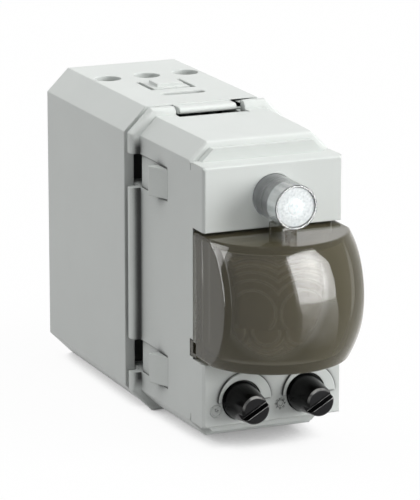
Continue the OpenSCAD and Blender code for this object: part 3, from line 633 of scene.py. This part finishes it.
def add_strip(geometry, rows, closed=False):
    """Joins rows of points by quads and returns the rows' vertices."""
    lines = [[geometry.verts.new(p) for p in row] for row in rows]
    for below, above in zip(lines, lines[1:]):
        count = len(below)
        for i in range(count if closed else count - 1):
            j = (i + 1) % count
            geometry.faces.new((below[i], below[j], above[j], above[i]))
    return lines


def join_sides(geometry, outer, inner):
    """Closes the two upright edges between an outer and an inner skin."""
    for side in (0, -1):
        for i in range(len(outer) - 1):
            geometry.faces.new((
                outer[i][side], outer[i + 1][side], inner[i + 1][side], inner[i][side]))


def add_turned(geometry, outline, centre):
    """Turns an outline of (radius, depth) pairs about a line along the depth, closed at both ends."""
    steps = 64
    turns = [2 * math.pi * i / steps for i in range(steps)]
    lines = add_strip(geometry, [
        [centre + Vector((radius * math.cos(a), depth, radius * math.sin(a))) for a in turns]
        for radius, depth in outline], closed=True)
    for row in (lines[0], lines[-1]):
        geometry.faces.new(row)


def lens_outline(radius, half_width, corner, axis_y, back_y):
    """Plan of the lens at one height: cheek, rounded corner, arc, rounded corner, cheek."""
    cheek_steps, corner_steps, arc_steps = 8, 8, 96
    corner_x = half_width - corner
    corner_y = axis_y - math.sqrt((radius - corner) ** 2 - corner_x ** 2)
    turn = math.atan2(axis_y - corner_y, corner_x)
    half = []
    for i in range(cheek_steps):
        half.append((-half_width, back_y + (corner_y - back_y) * i / cheek_steps))
    for i in range(corner_steps):
        a = turn * i / corner_steps
        half.append((-corner_x - corner * math.cos(a), corner_y - corner * math.sin(a)))
    for i in range(arc_steps // 2):
        a = turn + (math.pi / 2 - turn) * i / (arc_steps // 2)
        half.append((-radius * math.cos(a), axis_y - radius * math.sin(a)))
    return half + [(0.0, axis_y - radius)] + [(-x, y) for x, y in reversed(half)]


def lens_rows(sizes, inset, edge, axis_y, back_y, half_width):
    """Outlines of the lens from its bottom to its top, drawn in by an inset.

    The edge is the rounding at the top, at the bottom and at the corners of each outline.
    """
    body_steps, edge_steps = 40, 8
    quarter = math.pi / 2
    arc = sizes.lens_arc - inset
    shift = sizes.lens_radius - sizes.lens_arc
    half = sizes.lens_half - inset
    width = half_width - inset
    edge_z = half - edge
    edge_r = math.sqrt((arc - edge) ** 2 - edge_z ** 2)
    tangent_z = arc * edge_z / (arc - edge)
    levels = [edge_z * math.sin(quarter * i / body_steps) for i in range(body_steps + 1)]
    levels += [edge_z + edge * math.sin(quarter * i / edge_steps) for i in range(1, edge_steps + 1)]
    rows = []
    for level in levels:
        drop = math.sqrt(max(edge ** 2 - max(level - edge_z, 0) ** 2, 0))
        reach = math.sqrt(arc ** 2 - level ** 2) if level < tangent_z else edge_r + drop
        outline = lens_outline(shift + reach, width - edge + drop, edge, axis_y, back_y)
        rows.append([(x, y, level) for x, y in outline])
    mirrored = [[(x, y, -z) for x, y, z in row] for row in reversed(rows[1:])]
    return [[Vector((x, y, z + MIDDLE_Z)) for x, y, z in row] for row in mirrored + rows]


class SWITCH_OT_shells(bpy.types.Operator):
    """Finishes the rear housing and the front cover"""

    bl_idname = "switch.shells"
    bl_label = "Housing shells"

    def execute(self, context):
        sizes = context.scene.switch_sizes
        dress("rear_housing", sizes.shell_edge)
        # The front cover has painted shade in its wide corners
        dress("front_cover", sizes.shell_edge, finish="shaded_housing")
        return {"FINISHED"}


class SWITCH_OT_lens(bpy.types.Operator):
    """Models the smoked lens with its rounded edges, lug and clips"""

    bl_idname = "switch.lens"
    bl_label = "Smoked lens"

    def execute(self, context):
        sizes = context.scene.switch_sizes
        low, high, wall = LENS_LOW, LENS_HIGH, sizes.lens_wall
        half_width = (high.x - low.x) / 2
        axis_y = low.y + sizes.lens_radius
        clip_t, inner_edge = 1.0 * MM, 0.2 * MM
        back_y = high.y - clip_t
        geometry = bmesh.new()
        outer, inner = [
            add_strip(geometry, lens_rows(sizes, inset, edge, axis_y, back_y, half_width))
            for inset, edge in ((0.0, sizes.lens_edge), (wall, inner_edge))]
        for skin in (outer, inner):
            for row in (skin[0], skin[-1]):
                geometry.faces.new(row)
        join_sides(geometry, outer, inner)
        for level in (0, -1):
            geometry.faces.new((outer[level][0], outer[level][-1], inner[level][-1], inner[level][0]))
        lug_half, lug_front, lug_back, lug_edge = 1.2 * MM, 5.2 * MM, 1.0 * MM, 0.2 * MM
        lug_base = MIDDLE_Z + sizes.lens_half - wall / 2
        add_block(geometry, (-lug_half, PLATE_Y - lug_front, lug_base),
                  (lug_half, PLATE_Y - lug_back, high.z), lug_edge)
        clip_low, clip_high, clip_edge = MIDDLE_Z - 9.0 * MM, MIDDLE_Z - 6.7 * MM, 0.15 * MM
        for side in (-1, 1):
            left, right = sorted((side * half_width, side * (half_width - wall)))
            add_block(geometry, (left, back_y - wall, clip_low), (right, high.y, clip_high), clip_edge)
        piece = add_piece("smoked_lens", geometry, "smoked_lens")
        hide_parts("lens_cover")
        return {"FINISHED"}


class SWITCH_OT_fresnel(bpy.types.Operator):
    """Models the fresnel sheet with its two rows of ringed cells"""

    bl_idname = "switch.fresnel"
    bl_label = "Fresnel sheet"

    def execute(self, context):
        sizes = context.scene.switch_sizes
        low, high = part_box("fresnel_lens")
        half_width = (high.x - low.x) / 2
        half_height = (high.z - low.z) / 2
        inset = low.y - LENS_LOW.y
        axis_y = LENS_LOW.y + sizes.lens_radius
        thickness = 0.6 * MM
        cheek_steps, arc_steps, levels = 6, 180, 150
        # Each row's width of a cell and place of a seam in degrees, height of its centres and first ring
        large_cells = (36, -19.5, -0.2 * MM, sizes.large_ring)
        small_cells = (25, -15.5, -2.8 * MM, sizes.small_ring)
        split_z = -2.4 * MM

        def reach(z, depth):
            """Radius of the sheet's plan at a height, sunk below its surface."""
            arc = sizes.lens_arc - inset - depth
            return sizes.lens_radius - sizes.lens_arc + math.sqrt(arc ** 2 - z ** 2)

        def ring(turn, z):
            """Share of a ring's depth and of the painted highlight line on its edge, at a turn in degrees
            and a height.

            Rings of equal depth lie closer together the farther out they are.
            """
            cell, seam, centre_z, first = large_cells if z > split_z else small_cells
            centre = seam + (math.floor((turn - seam) / cell) + 0.5) * cell
            distance = math.hypot(math.radians(turn - centre) * reach(z, 0), z - centre_z)
            turns = (distance / first) ** 2
            edge = first * math.sqrt(max(1.0, round(turns)))
            return turns % 1.0, max(0.0, 1.0 - abs(distance - edge) / sizes.ring_line)

        def row(z, depth, ringed):
            """Plan of the sheet at a height: cheek, arc and cheek.

            Each point also has its share of the painted highlight on a ring's edge and of the painted
            shade at the rim.
            """
            side, radius = half_width - depth, reach(z, depth)
            corner = math.asin(side / radius)
            corner_y = axis_y - radius * math.cos(corner)
            cheek = [(-side, high.y + (corner_y - high.y) * i / cheek_steps, 0.0, 1.0)
                     for i in range(cheek_steps)]
            arc = []
            for i in range(arc_steps + 1):
                turn = corner * (2 * i / arc_steps - 1)
                from_corner = (corner - abs(turn)) * radius
                fade = min(1.0, from_corner / sizes.ring_line)
                slope, line = ring(math.degrees(turn), z) if ringed else (0.0, 0.0)
                r = radius - sizes.ring_depth * slope * fade
                # Painted shade near the sheet's rim, where the lens's edge would shade it
                inside = min(from_corner, half_height - abs(z))
                rim = max(0.0, 1.0 - inside / sizes.rim_width)
                arc.append((r * math.sin(turn), axis_y - r * math.cos(turn), line * fade, rim))
            mirrored = [(-x, y, line, rim) for x, y, line, rim in reversed(cheek)]
            return [(x, y, z + MIDDLE_Z, line, rim) for x, y, line, rim in cheek + arc + mirrored]

        geometry = bmesh.new()
        for name in (RING_HIGHLIGHT, SHEET_RIM_SHADE):
            geometry.verts.layers.float.new(name)
        layers = geometry.verts.layers.float
        heights = [half_height * (2 * k / levels - 1) for k in range(levels + 1)]
        plans = [row(z, 0.0, True) for z in heights]
        outer = add_strip(geometry, [[point[:3] for point in plan] for plan in plans])
        for plan, line in zip(plans, outer):
            for point, vertex in zip(plan, line):
                vertex[layers[RING_HIGHLIGHT]], vertex[layers[SHEET_RIM_SHADE]] = point[3:]
        inner = add_strip(geometry, [[point[:3] for point in row(z, thickness, False)] for z in heights])
        join_sides(geometry, outer, inner)
        for k in (0, -1):
            for i in range(len(outer[k]) - 1):
                geometry.faces.new((outer[k][i], outer[k][i + 1], inner[k][i + 1], inner[k][i]))
        piece = add_piece("ringed_sheet", geometry, "fresnel_sheet")
        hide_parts("fresnel_lens")
        return {"FINISHED"}


class SWITCH_OT_guide(bpy.types.Operator):
    """Finishes the light guide and the light sensor behind it, and models the guide's ground end"""

    bl_idname = "switch.guide"
    bl_label = "Light guide"

    def execute(self, context):
        sizes = context.scene.switch_sizes
        dress("light_guide", sizes.small_edge)
        dress("photocell", sizes.small_edge)
        rim, dish, gap = 0.35 * MM, 0.5 * MM, 0.03 * MM
        radius = GUIDE_RADIUS - rim - gap
        boss, boss_rise, boss_steps = 0.4 * radius, 0.15 * MM, 8
        face, edge, swell = 0.2 * MM, 0.1 * MM, 0.05 * MM
        outline = [(radius, -gap), (radius, -face), (radius - edge, -face - swell), (boss + edge, -face)]
        outline += [(boss * math.cos(a), -face - boss_rise * math.sin(a))
                    for a in (math.pi / 2 * i / boss_steps for i in range(boss_steps))]
        geometry = bmesh.new()
        add_turned(geometry, outline, GUIDE_END + Vector((0, dish, 0)))
        add_piece("guide_end", geometry, "frosted_end")
        return {"FINISHED"}


class SWITCH_OT_knobs(bpy.types.Operator):
    """Finishes the two knobs"""

    bl_idname = "switch.knobs"
    bl_label = "Knobs"

    def execute(self, context):
        for node in ("time_knob", "lux_knob"):
            dress(node, context.scene.switch_sizes.knob_edge)
        return {"FINISHED"}


class SWITCH_OT_symbols(bpy.types.Operator):
    """Models the raised clock beside the time knob and the raised sun beside the light knob"""

    bl_idname = "switch.symbols"
    bl_label = "Symbols"

    def execute(self, context):
        rise = context.scene.switch_sizes.symbol_rise
        stroke = 0.16 * MM
        beside, below = 3.7 * MM, 1.2 * MM
        clock, long_hand, short_hand = 0.78 * MM, 0.55, 0.45
        sun, ray, ray_count = 0.42 * MM, 0.42 * MM, 8
        hands = [(90, 0.0, long_hand * clock), (0, 0.0, short_hand * clock)]
        rays = [(360 * i / ray_count, sun + stroke, sun + ray) for i in range(ray_count)]
        for axis, name, radius, bars in zip(
                KNOB_AXES, ("clock_symbol", "sun_symbol"), (clock, sun), (hands, rays)):
            centre = axis + Vector((-beside, 0, -below))
            geometry = bmesh.new()
            self.add_ring(geometry, centre, radius, stroke, rise)
            for angle, start, end in bars:
                self.add_bar(geometry, centre, angle, start, end, stroke, rise)
            add_piece(name, geometry, "housing")
        return {"FINISHED"}

    def add_ring(self, geometry, centre, radius, stroke, rise):
        """A raised ring with sloping flanks, standing on the plate."""
        steps = 48
        turns = [2 * math.pi * i / steps for i in range(steps)]
        section = ((radius - stroke, 0.0), (radius - stroke / 2, -rise), (radius + stroke / 2, -rise),
                   (radius + stroke, 0.0))
        rows = [[centre + Vector((r * math.cos(a), depth, r * math.sin(a))) for a in turns]
                for r, depth in section]
        add_strip(geometry, rows + rows[:1], closed=True)

    def add_bar(self, geometry, centre, angle, start, end, stroke, rise):
        """A raised stroke that points away from the symbol's middle."""
        a = math.radians(angle)
        along, side = Vector((math.cos(a), 0, math.sin(a))), Vector((-math.sin(a), 0, math.cos(a)))
        rows = []
        for tip, half, lift in ((end, stroke, 0.0), (end - stroke / 2, stroke / 2, rise)):
            rows.append([centre + along * s + side * w + Vector((0, -lift, 0)) for s, w in (
                (start, -half), (tip, -half), (tip, half), (start, half))])
        for line in add_strip(geometry, rows, closed=True):
            geometry.faces.new(line)


class SWITCH_OT_inside(bpy.types.Operator):
    """Finishes the detector, the boards and their components, and the terminals"""

    bl_idname = "switch.inside"
    bl_label = "Inner pieces"

    def execute(self, context):
        sizes = context.scene.switch_sizes
        outside = {"rear_housing", "front_cover", "lens_cover", "fresnel_lens", "light_guide",
                   "photocell", "time_knob", "lux_knob"}
        for node in NODES:
            if node not in outside:
                dress(node, sizes.small_edge)
        return {"FINISHED"}


class SWITCH_OT_studio(bpy.types.Operator):
    """Sets up the floor, the soft light and the camera"""

    bl_idname = "switch.studio"
    bl_label = "Studio"

    def execute(self, context):
        scene = context.scene
        scene.view_settings.view_transform = "Standard"
        self.add_floor(scene)
        self.add_world(scene)
        self.add_lamps(scene)
        self.add_panels()
        self.add_camera(scene)
        return {"FINISHED"}

    def add_floor(self, scene):
        reach = 3.0
        geometry = bmesh.new()
        corners = [(-reach, -reach), (reach, -reach), (reach, reach), (-reach, reach)]
        geometry.faces.new([geometry.verts.new((x, y, CAD_BOX[0][2])) for x, y in corners])
        floor = add_object("floor", geometry, studio_paper(
            "Paper seamless white", tuple(scene.switch_colours.floor)))

    def add_world(self, scene):
        fill = 0.18
        world = bpy.data.worlds.new("Studio")
        scene.world = world
        world.use_nodes = True
        tree = world.node_tree
        tree.nodes.clear()
        strength = add_node(tree, "ShaderNodeMapRange", {
            "Value": seen_directly(tree), "To Min": fill, "To Max": 1.0})
        sky = add_node(tree, "ShaderNodeBackground", {
            "Color": (1.0, 1.0, 1.0, 1.0), "Strength": strength.outputs["Result"]})
        add_node(tree, "ShaderNodeOutputWorld", {"Surface": sky.outputs["Background"]})

    def direction(self, azimuth, elevation):
        """Unit vector away from the object; azimuth 0 is in front of it and 90 to its right."""
        a, e = math.radians(azimuth), math.radians(elevation)
        return Vector((math.sin(a) * math.cos(e), -math.cos(a) * math.cos(e), math.sin(e)))

    def add_lamps(self, scene):
        """Soft lamps that polished pieces don't mirror.

        The last one stands for light that the paper throws up, so only the lens and its sheet block it.
        """
        everything = ()
        lens_pieces = ("smoked_lens", "ringed_sheet")
        for name, azimuth, elevation, level, spread, receivers, from_paper in (
                ("overhead", 0, 80, 0.5, 60, everything, False),
                ("key", 50, 16, 1.0, 50, everything, False),
                ("front fill", -5, 0, 0.17, 40, everything, False),
                ("side fill", -110, 25, 0.2, 50, everything, False),
                ("lens light", 70, -5, 0.8, 40, lens_pieces, False),
                ("paper light", 0, -60, 0.5, 40, lens_pieces, True)):
            light = bpy.data.lights.new(name, "SUN")
            light.energy = level * math.pi
            light.angle = math.radians(spread)
            lamp = bpy.data.objects.new(name, light)
            scene.collection.objects.link(lamp)
            lamp.rotation_euler = self.direction(azimuth, elevation).to_track_quat("Z", "Y").to_euler()
            lamp.visible_glossy = False
            lamp.visible_transmission = False
            self.light_only(lamp, receivers)
            if from_paper:
                lamp.light_linking.blocker_collection = lamp.light_linking.receiver_collection

    def light_only(self, lamp, receivers):
        """Lets a lamp or a panel light only some pieces; none named means all of them."""
        if receivers:
            lit = bpy.data.collections.new("Lit by " + lamp.name)
            for name in receivers:
                lit.objects.link(NODES.get(name) or bpy.data.objects[name])
            lamp.light_linking.receiver_collection = lit

    def add_panels(self):
        """Glowing panels that only polished pieces mirror.

        Each row of corners is in mm from the middle of the plate, the lowest row first. The cloth fades
        out below the row whose number is given.
        """
        middle = Vector((0, PLATE_Y, MIDDLE_Z))
        tube_reach = 25 * MM
        soft_box = (((3, -27, -21), (24, -15, -21)), ((7, -44, -13), (34, -24, -13)),
                    ((4, -47, -1), (34, -29, -2)), ((0, -43, 14), (32, -28, 17)),
                    ((-4, -39, 28), (21, -32, 28)))
        rim_strip = (((-70, 0, -12), (-44, 44, -12)), ((-70, 0, 50), (-44, 44, 50)))
        top_card = (((1.5, -0.6, 9.5), (14, -0.6, 9.5)), ((1.5, -0.6, 12.5), (14, -0.6, 12.5)))
        for name, corners, radiance, fading, receivers in (
                ("soft_box", soft_box, 20.0, 2, ("smoked_lens", "time_knob", "lux_knob", "light_guide")),
                ("rim_strip", rim_strip, 13.0, 0, ("smoked_lens",)),
                ("top_card", top_card, 1.0, 0, ("smoked_lens",))):
            rows = [[middle + Vector(corner) * MM for corner in row] for row in corners]
            tube = (rows[-2][0] + rows[-2][1] + rows[-1][0] + rows[-1][1]) / 4
            geometry = bmesh.new()
            add_strip(geometry, rows)
            panel = add_object(name, geometry, lamp_cloth(
                "Lamp cloth " + name, radiance, tube, tube_reach, rows[0][1].z, rows[fading][1].z))
            for ray in ("camera", "diffuse", "transmission", "volume_scatter", "shadow"):
                setattr(panel, "visible_" + ray, False)
            self.light_only(panel, receivers)

    def add_camera(self, scene):
        azimuth, elevation, distance = -23.19, 14.22, 481.9 * MM
        target = Vector((-0.702, -1.325, 23.602)) * MM
        away = self.direction(azimuth, elevation)
        data = bpy.data.cameras.new("camera")
        data.lens = 242.4
        data.sensor_width = 36.0
        data.clip_start = 0.01
        camera = bpy.data.objects.new("camera", data)
        camera.location = target + away * distance
        camera.rotation_euler = away.to_track_quat("Z", "Y").to_euler()
        scene.collection.objects.link(camera)
        scene.camera = camera


class SWITCH_PT_pieces(bpy.types.Panel):
    """Lists the operators that dress the switch"""

    bl_idname = "SWITCH_PT_pieces"
    bl_label = "Motion Sensor Switch"
    bl_space_type = "VIEW_3D"
    bl_region_type = "UI"
    bl_category = "Switch"

    def draw(self, context):
        for operator in OPERATORS:
            self.layout.operator(operator.bl_idname)


OPERATORS = (
    SWITCH_OT_shells, SWITCH_OT_lens, SWITCH_OT_fresnel, SWITCH_OT_guide, SWITCH_OT_knobs,
    SWITCH_OT_symbols, SWITCH_OT_inside, SWITCH_OT_studio,
)
CLASSES = (SwitchSizes, SwitchColours) + OPERATORS + (SWITCH_PT_pieces,)


def register():
    for cls in CLASSES:
        bpy.utils.register_class(cls)
    bpy.types.Scene.switch_sizes = bpy.props.PointerProperty(type=SwitchSizes)
    bpy.types.Scene.switch_colours = bpy.props.PointerProperty(type=SwitchColours)


def unregister():
    del bpy.types.Scene.switch_colours
    del bpy.types.Scene.switch_sizes
    for cls in reversed(CLASSES):
        bpy.utils.unregister_class(cls)


def main():
    register()
    bpy.ops.switch.shells()
    bpy.ops.switch.lens()
    bpy.ops.switch.fresnel()
    bpy.ops.switch.guide()
    bpy.ops.switch.knobs()
    bpy.ops.switch.symbols()
    bpy.ops.switch.inside()
    bpy.ops.switch.studio()


if __name__ == "__main__":
    main()
